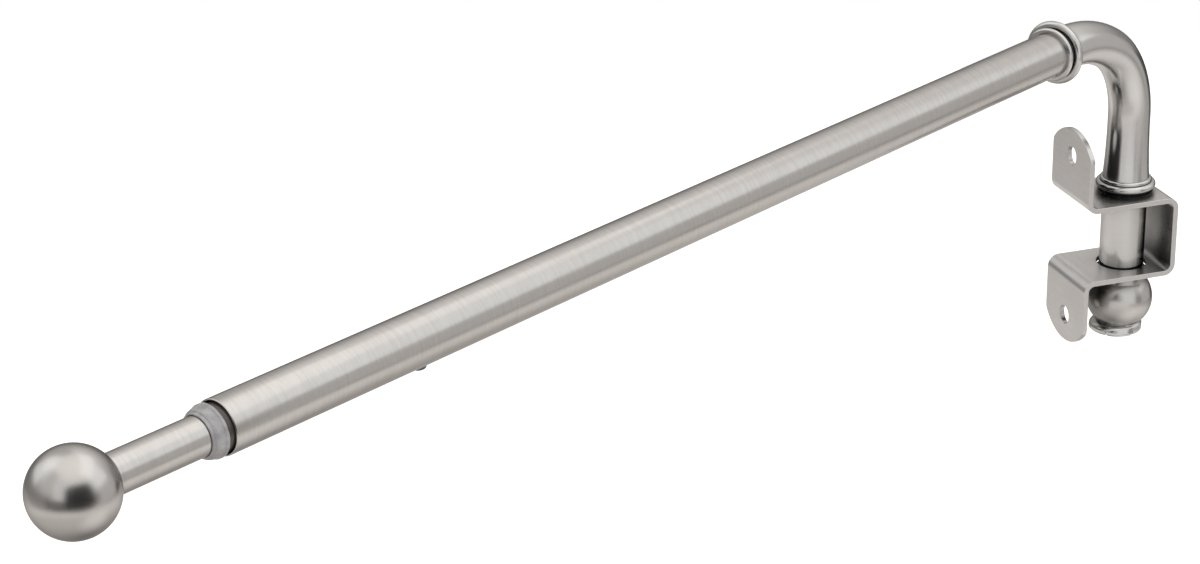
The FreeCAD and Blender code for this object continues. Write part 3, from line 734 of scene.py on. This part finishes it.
def paintRecessShade(material):
    # painted shade: the narrow gap under the pivot collar is painted dark and not metallic, as the
    # photograph shows it
    tree = material.node_tree
    shader = tree.nodes["Principled BSDF"]
    place = wire(tree, "ShaderNodeAttribute", (-1300, 500), {}, "Vector",
                 attribute_name="straightPlace")
    height = wire(tree, "ShaderNodeSeparateXYZ", (-1100, 500), {"Vector": place}, "Z")
    top, edge = nickel["recessTop"], nickel["recessEdge"]
    above = fade(tree, (-900, 500), height, (top - edge) * mm, (top + edge) * mm)
    colour = shader.inputs["Base Color"].links[0].from_socket
    mixed = wire(tree, "ShaderNodeMix", (-200, 400),
                 {"Factor": above, "A": nickel["recess"], "B": colour}, "Result", data_type="RGBA")
    feed(tree, shader, {"Base Color": mixed, "Metallic": above})


armTurn = (0, 0, math.radians(-arm["angle"]))
tubeNickel = makeNickel("satinNickelTube", "tube", armTurn, (1.0, 0.12, 0.12))
ballNickel = makeNickel("satinNickelBall", "ball", armTurn, (1.0, 0.15, 0.15))
stripNickel = makeNickel("satinNickelStrip", "strip", (0, 0, 0), (0.12, 1.0, 1.0))
elbowNickel = makeNickel("satinNickelElbow", "bend", (0, 0, 0), (0.2, 0.2, 1.0), "straightPlace")
paintRecessShade(elbowNickel)
postNickel = makeNickel("satinNickelPost", "bend", (0, 0, 0), (0.15, 0.15, 1.0))


sleevePlasticLook = {
    "cloud": 320.0, "from": (0.37, 0.367, 0.38, 1.0), "to": (0.63, 0.625, 0.635, 1.0),
    "groove": (0.085, 0.07, 0.063, 1.0), "grooveEdge": 445.35, "ragged": 0.7, "soft": 0.12,
    # reach, dark and open set the painted shade in the hollows of the sleeve
    "reach": 0.004, "dark": 0.03, "open": 0.5,
}


def makeSleevePlastic():
    material, tree, shader = startMaterial("cloudyPlastic")
    look = sleevePlasticLook
    place = wire(tree, "ShaderNodeTexCoord", (-900, 0), {}, "Object")
    cloud = wire(tree, "ShaderNodeTexNoise", (-700, 0),
                 {"Vector": place, "Scale": look["cloud"], "Detail": 5.0})
    tone = ramp(tree, (-450, 150), cloud, ((0.3, look["from"]), (0.7, look["to"])))
    # behind its rim the sleeve is dark, with a ragged edge
    turn = math.radians(arm["angle"])
    alongRod = wire(tree, "ShaderNodeVectorMath", (-700, -300),
                    {0: place, 1: (math.cos(turn), math.sin(turn), 0.0)}, "Value",
                    operation="DOT_PRODUCT")
    ragged = wire(tree, "ShaderNodeMath", (-500, -300), {0: cloud, 1: look["ragged"] * mm, 2: alongRod},
                  operation="MULTIPLY_ADD")
    middle = look["grooveEdge"] + look["ragged"] / 2 + arm["pivot"][1] * math.sin(turn)
    edge = fade(tree, (-300, -300), ragged, (middle - look["soft"]) * mm, (middle + look["soft"]) * mm,
                smooth=True)
    mixed = wire(tree, "ShaderNodeMix", (-150, 0), {"Factor": edge, "A": look["groove"], "B": tone},
                 "Result", data_type="RGBA")
    feed(tree, shader, {"Base Color": mixed, "Roughness": 0.22, "Specular IOR Level": 0.85,
                        "Transmission Weight": 0.1, "IOR": 1.48})
    paintHollowShade(tree, shader, look)
    return material


def makePlain(name, colour, roughness, metallic):
    # small parts that hardly show keep a slightly mottled plain finish
    material, tree, shader = startMaterial(name)
    place = wire(tree, "ShaderNodeTexCoord", (-900, 0), {}, "Object")
    cloud = wire(tree, "ShaderNodeTexNoise", (-700, 0), {"Vector": place, "Scale": 600.0})
    darker = tuple(part * 0.8 for part in colour[:3]) + (1.0,)
    tone = ramp(tree, (-450, 150), cloud, ((0.3, darker), (0.7, colour)))
    feed(tree, shader, {"Base Color": tone, "Roughness": roughness, "Metallic": metallic})
    return material


sleevePlastic = makeSleevePlastic()
guidePlastic = makePlain("whitePlastic", (0.82, 0.82, 0.80, 1.0), 0.45, 0.0)
screwMetal = makePlain("darkScrew", (0.16, 0.155, 0.15, 1.0), 0.4, 1.0)


def dress(obj, material, body, replaced):
    obj.data.materials.clear()
    obj.data.materials.append(material)
    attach(obj, body)
    if replaced:
        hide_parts(replaced)


dress(wallBracket, stripNickel, "bracket", "wall_bracket")
dress(elbow, elbowNickel, "arm", "elbow")
dress(pivotPost, postNickel, "arm", "pivot_tube")
dress(pivotBall, ballNickel, "arm", "pivot_ball")
dress(rodOuter, tubeNickel, "arm", "outer_tube")
dress(stopScrew, screwMetal, "arm", "stop_screw")
dress(mouthSleeve, sleevePlastic, "arm", "glide_sleeve")
dress(rodInner, tubeNickel, "extension", "inner_tube")
dress(finialBall, ballNickel, "extension", "finial_ball")
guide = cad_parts["inner_guide"]
guide.data.materials.clear()
guide.data.materials.append(guidePlastic)
print("finishes on")


# Studio: a pale table far below, two soft lamps overhead, a darker room behind the camera

studio = {
    "tableDrop": 0.9, "tableSize": (5.4, 5.2), "tableMiddle": (-0.1, 0.4), "span": 3.0,
    "warmth": (1.0, 0.965, 0.935), "seenGlow": 0.8,
    # painted shade: tone of the table by distance from under the rod, darker beneath it, in shares of
    # the span
    "tableFrom": (0.0, 0.25),
    "table": ((0.0, 0.22), (0.1, 0.40), (0.2, 0.58), (0.34, 0.70), (1.0, 0.70)),
    # painted light: what the table adds in mirrored rays, again by distance, as a glowing ring and a
    # glowing spot
    "glowFrom": (-0.3, 0.5),
    "glow": ((0.0, 0.0), (0.38, 0.0), (0.52, 0.2), (0.70, 0.2), (0.77, 0.0)),
    "spotFrom": (-0.8, -0.3),
    "spot": ((0.0, 0.28), (0.1, 0.26), (0.27, 0.0)),
    # light of the room by height, from straight below to straight above
    "room": ((0.0, 0.55), (0.40, 0.32), (0.44, 0.24), (0.53, 0.26), (0.61, 0.44), (0.69, 0.57),
             (0.80, 0.76), (0.89, 0.92), (1.0, 1.0)),
    # azimuth and elevation in degrees, half width, half height, soft edge, light
    "patches": [
        (-105, 30, 22, 18, 14, 0.95), (5, 34, 12, 24, 12, 0.52), (50, 34, 18, 22, 12, 0.90),
        (102, 36, 13, 24, 10, 0.58), (137, 30, 13, 24, 10, 0.74), (-174, 18, 24, 30, 10, 0.80),
        (-98, -2, 28, 16, 10, 0.54), (150, -9, 36, 10, 6, 0.78), (-48, -18, 26, 10, 5, 0.07),
    ],
    "warmUnder": 0.7,
    # dark cards seen only in mirrored rays: two by the ball end, out of the rod's way, and one
    # against the upper ear, a sheet of painted shade that the elbow mirrors in place of the ear's
    # shaded side. soft is a share of the size, and a hole gives the height over the card's middle and
    # the radius
    "cards": {
        "darkCard": {"middle": (-0.4435, 0.377, 0.137), "facing": -173.0, "width": 0.33,
                     "tall": 0.30, "soft": 0.4, "tone": 0.02},
        "lowCard": {"middle": (-0.4977, 0.6289, 0.037), "facing": 138.0, "width": 0.49,
                    "tall": 0.17, "soft": 0.4, "tone": 0.25},
        "earCard": {"middle": (0.0, -0.00215, 0.0265), "facing": -90.0, "width": 0.029,
                    "tall": 0.023, "soft": 0.3, "tone": 0.05, "hole": (0.0055, 0.0038)},
    },
    "holeEdge": 0.0004,
}


def warm(tone):
    return tuple(tone * part for part in studio["warmth"]) + (1.0,)


def byDistance(tree, place, key, row):
    # a tone read from a ramp by the distance to a place on the table
    middle = studio[key + "From"]
    away = wire(tree, "ShaderNodeVectorMath", (-1100, row),
                {0: place, 1: (middle[0], middle[1], -studio["tableDrop"])}, "Value",
                operation="DISTANCE")
    share = wire(tree, "ShaderNodeMath", (-900, row), {0: away, 1: studio["span"]}, operation="DIVIDE")
    return ramp(tree, (-700, row), share, [(position, warm(tone)) for position, tone in studio[key]])


def makeTable():
    clearSelection()
    middle = studio["tableMiddle"]
    bpy.ops.mesh.primitive_plane_add(size=1.0, location=(middle[0], middle[1], -studio["tableDrop"]))
    obj = nameActive("tableTop")
    obj.scale = (studio["tableSize"][0], studio["tableSize"][1], 1.0)
    bpy.ops.object.transform_apply(location=True, rotation=True, scale=True)
    bpy.ops.object.mode_set(mode="EDIT")
    bpy.ops.mesh.subdivide(number_cuts=3)
    bpy.ops.object.mode_set(mode="OBJECT")
    material, tree, shader = startMaterial("paleTablePaintedShadeAndLight")
    place = wire(tree, "ShaderNodeTexCoord", (-1300, 0), {}, "Object")
    # painted light: the table glows only in mirrored rays, though it is no lamp
    added = wire(tree, "ShaderNodeMath", (-450, -400),
                 {0: byDistance(tree, place, "glow", -300), 1: byDistance(tree, place, "spot", -600)},
                 operation="ADD")
    inMirror = wire(tree, "ShaderNodeLightPath", (-700, -900), {}, "Is Glossy Ray")
    mirrored = wire(tree, "ShaderNodeMath", (-300, -500), {0: inMirror, 1: added},
                    operation="MULTIPLY")
    seen = wire(tree, "ShaderNodeLightPath", (-700, -1200), {}, "Is Camera Ray")
    glow = wire(tree, "ShaderNodeMath", (-150, -300), {0: seen, 1: studio["seenGlow"], 2: mirrored},
                operation="MULTIPLY_ADD")
    # the base colour is painted shade, darker under the rod
    feed(tree, shader, {"Base Color": byDistance(tree, place, "table", 0), "Roughness": 0.9,
                        "Emission Color": (1.0, 1.0, 1.0, 1.0), "Emission Strength": glow})
    obj.data.materials.append(material)


def cutHole(tree, place, cover, hole):
    # the painted shade shows only on the side towards the elbow, and the ear's screw hole stays open
    rise, radius = hole
    edge = studio["holeEdge"]
    away = wire(tree, "ShaderNodeVectorMath", (-600, -300), {0: place, 1: (0.0, rise, 0.0)}, "Value",
                operation="DISTANCE")
    outside = fade(tree, (-450, -300), away, radius - edge, radius + edge)
    both = wire(tree, "ShaderNodeMath", (-150, -200), {0: cover, 1: outside}, operation="MULTIPLY")
    behind = wire(tree, "ShaderNodeNewGeometry", (-450, -500), {}, "Backfacing")
    front = wire(tree, "ShaderNodeMath", (-300, -500), {0: 1.0, 1: behind}, operation="SUBTRACT")
    return wire(tree, "ShaderNodeMath", (0, -300), {0: both, 1: front}, operation="MULTIPLY")


def makeCardClothAndShade(name, card):
    # black cloth that softens out towards the card's edges; on the ear card it is painted shade
    material, tree, shader = startMaterial(name + "Cloth")
    place = wire(tree, "ShaderNodeTexCoord", (-1100, 0), {}, "Object")
    squeezed = wire(tree, "ShaderNodeMapping", (-900, 0),
                    {"Vector": place, "Scale": (2 / card["width"], 2 / card["tall"], 1.0)},
                    vector_type="POINT")
    reach = wire(tree, "ShaderNodeVectorMath", (-750, 0), {0: squeezed}, operation="ABSOLUTE")
    sideways = wire(tree, "ShaderNodeSeparateXYZ", (-600, 0), {"Vector": reach}, "X")
    upwards = wire(tree, "ShaderNodeSeparateXYZ", (-600, -150), {"Vector": reach}, "Y")
    furthest = wire(tree, "ShaderNodeMath", (-450, 0), {0: sideways, 1: upwards, 2: 0.5},
                    operation="SMOOTH_MAX")
    cover = fade(tree, (-300, 0), furthest, 1.0, 1.0 - card["soft"], smooth=True)
    if "hole" in card:
        cover = cutHole(tree, place, cover, card["hole"])
    feed(tree, shader, {"Base Color": (card["tone"], card["tone"], card["tone"], 1.0),
                        "Roughness": 1.0, "Specular IOR Level": 0.0, "Alpha": cover})
    return material


def makeCard(name, card):
    # an upright dark card
    clearSelection()
    bpy.ops.mesh.primitive_grid_add(x_subdivisions=4, y_subdivisions=4, size=1.0)
    obj = nameActive(name)
    obj.scale = (card["width"], card["tall"], 1.0)
    obj.rotation_euler = (math.radians(90), 0, math.radians(card["facing"] + 90))
    obj.location = card["middle"]
    bpy.ops.object.transform_apply(location=False, rotation=False, scale=True)
    obj.data.materials.append(makeCardClothAndShade(name, card))
    obj.visible_camera = False
    obj.visible_diffuse = False
    obj.visible_shadow = False
    obj.visible_transmission = False


def addPatch(tree, place, last, number, patch):
    # one softly edged rectangle of light or shade, seen in a given direction
    azimuth, elevation, halfWidth, halfHeight, soft, light = patch
    around, up = math.radians(azimuth), math.radians(elevation)
    middle = Vector((math.cos(up) * math.cos(around), math.cos(up) * math.sin(around), math.sin(up)))
    sideways = Vector((-math.sin(around), math.cos(around), 0))
    row = -200 - number * 500
    ahead = wire(tree, "ShaderNodeVectorMath", (-1200, row - 400), {0: place, 1: middle}, "Value",
                 operation="DOT_PRODUCT")
    share = wire(tree, "ShaderNodeMath", (-1000, row - 400), {0: ahead, 1: 0.0},
                 operation="GREATER_THAN")
    for axis, half in ((sideways, halfWidth), (middle.cross(sideways), halfHeight)):
        reach = wire(tree, "ShaderNodeVectorMath", (-1200, row), {0: place, 1: axis}, "Value",
                     operation="DOT_PRODUCT")
        distance = wire(tree, "ShaderNodeMath", (-1000, row), {0: reach}, operation="ABSOLUTE")
        inside = fade(tree, (-800, row), distance, math.sin(math.radians(half + soft / 2)),
                      math.sin(math.radians(half - soft / 2)), smooth=True)
        share = wire(tree, "ShaderNodeMath", (-600, row), {0: share, 1: inside}, operation="MULTIPLY")
        row -= 200
    colour = warm(light) if light < studio["warmUnder"] else (light, light, light, 1.0)
    return wire(tree, "ShaderNodeMix", (-400 + number * 150, 0),
                {"Factor": share, "A": last, "B": colour}, "Result", data_type="RGBA")


def makeWorld():
    world = bpy.data.worlds.new("studioRoom")
    bpy.context.scene.world = world
    world.use_nodes = True
    tree = world.node_tree
    tree.nodes.clear()
    place = wire(tree, "ShaderNodeTexCoord", (-1600, 0), {}, "Generated")
    height = wire(tree, "ShaderNodeSeparateXYZ", (-1400, 200), {"Vector": place}, "Z")
    level = fade(tree, (-1200, 200), height, -1.0, 1.0)
    last = ramp(tree, (-1000, 200), level, [(stop, warm(tone)) for stop, tone in studio["room"]])
    for number, patch in enumerate(studio["patches"]):
        last = addPatch(tree, place, last, number, patch)
    lit = wire(tree, "ShaderNodeBackground", (0, 0), {"Color": last})
    seen = wire(tree, "ShaderNodeBackground", (0, -200), {"Color": (1.0, 1.0, 1.0, 1.0)})
    byCamera = wire(tree, "ShaderNodeLightPath", (0, 300), {}, "Is Camera Ray")
    chosen = wire(tree, "ShaderNodeMixShader", (250, 0), {"Fac": byCamera, 1: lit, 2: seen})
    target = tree.nodes.new("ShaderNodeOutputWorld")
    target.location = (450, 0)
    feed(tree, target, {"Surface": chosen})


lampsAim = (-0.12, 0.18, 0.04)
softLamps = {
    # towards, distance, width, height, power
    "softLampRight": ((0.0, -0.44, 0.90), 1.9, 2.2, 0.95, 1.6),
    "softLampLeft": ((0.41, 0.545, 0.73), 2.0, 1.0, 0.9, 0.6),
}


def makeLamp(name, towards, distance, width, height, power):
    clearSelection()
    direction = Vector(towards).normalized()
    place = Vector(lampsAim) + direction * distance
    turned = direction.to_track_quat("Z", "Y").to_euler()
    bpy.ops.object.light_add(type="AREA", location=place, rotation=turned)
    lamp = bpy.context.object
    lamp.name = name
    lamp.data.shape = "RECTANGLE"
    lamp.data.size = width
    lamp.data.size_y = height
    lamp.data.energy = power
    lamp.visible_camera = False


makeTable()
for name, card in studio["cards"].items():
    makeCard(name, card)
makeWorld()
for name, lamp in softLamps.items():
    makeLamp(name, *lamp)

camera = {
    "place": (-0.8806, 0.4689, 0.4008), "looking": (0.8763, -0.2832, -0.3896),
    "up": (0.364, -0.1404, 0.9208), "lens": 85.03, "sensor": 36.0, "clip": (0.01, 50.0),
}


def makeCamera():
    clearSelection()
    back = -Vector(camera["looking"]).normalized()
    right = Vector(camera["up"]).cross(back).normalized()
    turned = Matrix((right, back.cross(right), back)).transposed().to_euler()
    bpy.ops.object.camera_add(location=camera["place"], rotation=turned)
    eye = bpy.context.object
    eye.data.lens = camera["lens"]
    eye.data.sensor_width = camera["sensor"]
    eye.data.clip_start, eye.data.clip_end = camera["clip"]
    bpy.context.scene.camera = eye


makeCamera()
bpy.context.scene.view_settings.view_transform = "Standard"
print("studio and camera set")

bpy.context.view_layer.update()
